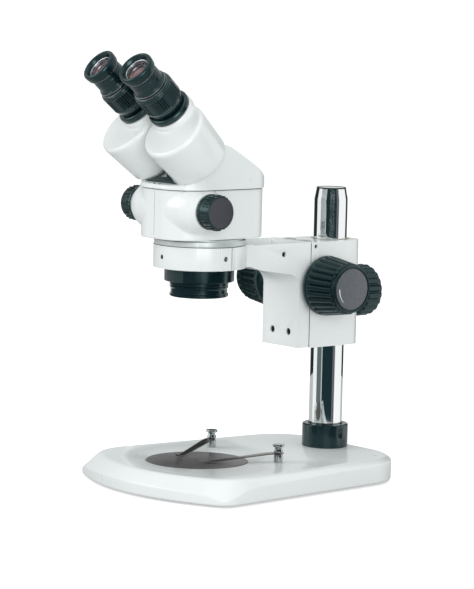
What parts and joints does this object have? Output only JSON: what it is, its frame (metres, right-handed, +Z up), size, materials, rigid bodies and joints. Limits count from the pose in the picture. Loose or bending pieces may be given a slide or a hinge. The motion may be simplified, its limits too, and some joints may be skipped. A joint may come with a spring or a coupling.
{
  "type": "stereo microscope",
  "caption": "Stereo microscope on a pole stand: white zoom head with tilted binocular drums, black eyepieces, focus block on a chrome pole, broad base with a stage plate and spring clips.",
  "frame": {"origin": "middle of the object's box on the table surface", "axes": "+Z up, the user sits on the -Y side, the pole stands at +Y, +X to the user's right"},
  "size_m": [0.2178, 0.321, 0.4028],
  "materials": {
    "enamel_iron": "off-white baked enamel, glossy",
    "enamel_light": "off-white baked enamel over cast aluminium, glossy",
    "ring_satin": "silver-grey satin lacquer",
    "zinc_steel": "zinc-plated steel",
    "rubber_feet": "soft black rubber",
    "stage_grey": "dark grey, semi-gloss",
    "chrome_bar": "polished chrome",
    "black_anodised": "black anodised, fine grain",
    "black_moulded": "black moulded plastic, fine grain",
    "knob_disc": "mauve-grey, fine speckle",
    "bright_brass": "machined brass",
    "optical_glass": "coated optical glass",
    "spring_steel": "brown-grey spring steel"
  },
  "bodies": {
    "stand": {"base_casting": "enamel_iron", "base_under_plate": "zinc_steel", "foot_rear_left": "rubber_feet", "foot_rear_right": "rubber_feet", "foot_front_left": "rubber_feet", "foot_front_right": "rubber_feet", "stage_plate": "stage_grey", "pole": "chrome_bar", "pole_collar": "black_anodised", "pole_bolt": "zinc_steel", "clip_post_left": "chrome_bar", "clip_post_right": "chrome_bar"},
    "pole_sleeve": {"pole_bush": "bright_brass"},
    "focus_block": {"rack_housing": "enamel_light", "clamp_pad": "bright_brass"},
    "focus_drive": {"pinion_shaft": "zinc_steel", "focus_knob_left": "black_moulded", "focus_knob_right": "black_moulded", "focus_knob_disc_left": "knob_disc", "focus_knob_disc_right": "knob_disc"},
    "clamp": {"clamp_knob": "black_moulded", "clamp_screw": "zinc_steel"},
    "arm": {"arm_bracket": "enamel_light", "slide_plate": "zinc_steel", "rack": "bright_brass", "ring_clamp_screw": "zinc_steel", "column_screw_left": "zinc_steel", "column_screw_right": "zinc_steel"},
    "head": {"head_flange": "ring_satin", "objective_housing": "black_anodised", "objective_ring": "black_anodised", "objective_lens": "optical_glass", "top_cover": "enamel_light", "name_plate": "black_moulded", "body_shell_left": "enamel_light", "body_shell_right": "enamel_light", "guide_rod_left": "zinc_steel", "guide_rod_right": "zinc_steel"},
    "zoom_drive": {"zoom_shaft": "zinc_steel", "zoom_knob_left": "black_moulded", "zoom_knob_right": "black_moulded"},
    "zoom_group": {"zoom_carriage": "bright_brass", "zoom_lens_left": "optical_glass", "zoom_lens_right": "optical_glass"},
    "drum_left": {"prism_drum_left": "enamel_light", "prism_left": "optical_glass", "eyepiece_tube_left": "black_anodised"},
    "dioptre_left": {"dioptre_ring_left": "black_anodised"},
    "eyepiece_left": {"eyepiece_barrel_left": "black_anodised", "eye_cup_left": "black_moulded", "eye_lens_left": "optical_glass"},
    "clip_left": {"clip_spring_left": "spring_steel"},
    "drum_right": {"prism_drum_right": "enamel_light", "prism_right": "optical_glass", "eyepiece_tube_right": "black_anodised"},
    "dioptre_right": {"dioptre_ring_right": "black_anodised"},
    "eyepiece_right": {"eyepiece_barrel_right": "black_anodised", "eye_cup_right": "black_moulded", "eye_lens_right": "optical_glass"},
    "clip_right": {"clip_spring_right": "spring_steel"}
  },
  "joints": [
    {"name": "height_slide", "type": "slide", "parent": "stand", "child": "pole_sleeve", "axis": [0, 0, 1], "range_m": [-0.07, 0.04]},
    {"name": "pole_swivel", "type": "hinge", "parent": "pole_sleeve", "child": "focus_block", "pos_m": [0, 0.11095, 0.1744], "axis": [0, 0, 1], "continuous": true},
    {"name": "focus_slide", "type": "slide", "parent": "focus_block", "child": "arm", "axis": [0, 0, 1], "range_m": [-0.025, 0.025]},
    {"name": "focus_pinion", "type": "hinge", "parent": "focus_block", "child": "focus_drive", "pos_m": [0, 0.07695, 0.184], "axis": [1, 0, 0], "range_deg": [-240, 240]},
    {"name": "clamp_turn", "type": "hinge", "parent": "focus_block", "child": "clamp", "pos_m": [0, 0.14895, 0.1725], "axis": [0, 1, 0], "range_deg": [0, 360]},
    {"name": "head_swivel", "type": "hinge", "parent": "arm", "child": "head", "pos_m": [0, -0.04905, 0.2155], "axis": [0, 0, 1], "continuous": true},
    {"name": "zoom_turn", "type": "hinge", "parent": "head", "child": "zoom_drive", "pos_m": [0, -0.07755, 0.2605], "axis": [1, 0, 0], "range_deg": [-120, 120]},
    {"name": "zoom_slide", "type": "slide", "parent": "head", "child": "zoom_group", "axis": [0, 0, 1], "range_m": [-0.00837, 0.00837]},
    {"name": "ipd_right", "type": "hinge", "parent": "head", "child": "drum_right", "pos_m": [0.0296, -0.07675, 0.3055], "axis": [0.075, -0.7526, 0.6542], "range_deg": [-36, 0]},
    {"name": "ipd_left", "type": "hinge", "parent": "head", "child": "drum_left", "pos_m": [-0.0296, -0.07675, 0.3055], "axis": [-0.075, -0.7526, 0.6542], "range_deg": [0, 36]},
    {"name": "dioptre_right", "type": "hinge", "parent": "drum_right", "child": "dioptre_right", "pos_m": [0.02408, -0.11942, 0.36405], "axis": [0.075, -0.7526, 0.6542], "range_deg": [0, 240]},
    {"name": "eyepiece_right", "type": "slide", "parent": "drum_right", "child": "eyepiece_right", "axis": [0.075, -0.7526, 0.6542], "range_m": [0, 0.004]},
    {"name": "dioptre_left", "type": "hinge", "parent": "drum_left", "child": "dioptre_left", "pos_m": [-0.02408, -0.11942, 0.36405], "axis": [-0.075, -0.7526, 0.6542], "range_deg": [0, 240]},
    {"name": "eyepiece_left", "type": "slide", "parent": "drum_left", "child": "eyepiece_left", "axis": [-0.075, -0.7526, 0.6542], "range_m": [0, 0.004]},
    {"name": "clip_right", "type": "hinge", "parent": "stand", "child": "clip_right", "pos_m": [0.049, 0.01045, 0.0324], "axis": [0, 0, 1], "range_deg": [-8, 90]},
    {"name": "clip_left", "type": "hinge", "parent": "stand", "child": "clip_left", "pos_m": [-0.049, 0.01045, 0.0324], "axis": [0, 0, 1], "range_deg": [-90, 8]}
  ],
  "couplings": [
    {"joint": "focus_pinion", "follows": "focus_slide", "rad_per_m": -166.67},
    {"joint": "zoom_turn", "follows": "zoom_slide", "rad_per_m": 250},
    {"joint": "ipd_left", "follows": "ipd_right", "ratio": -1},
    {"joint": "dioptre_right", "follows": "eyepiece_right", "rad_per_m": 1047},
    {"joint": "dioptre_left", "follows": "eyepiece_left", "rad_per_m": 1047}
  ]
}
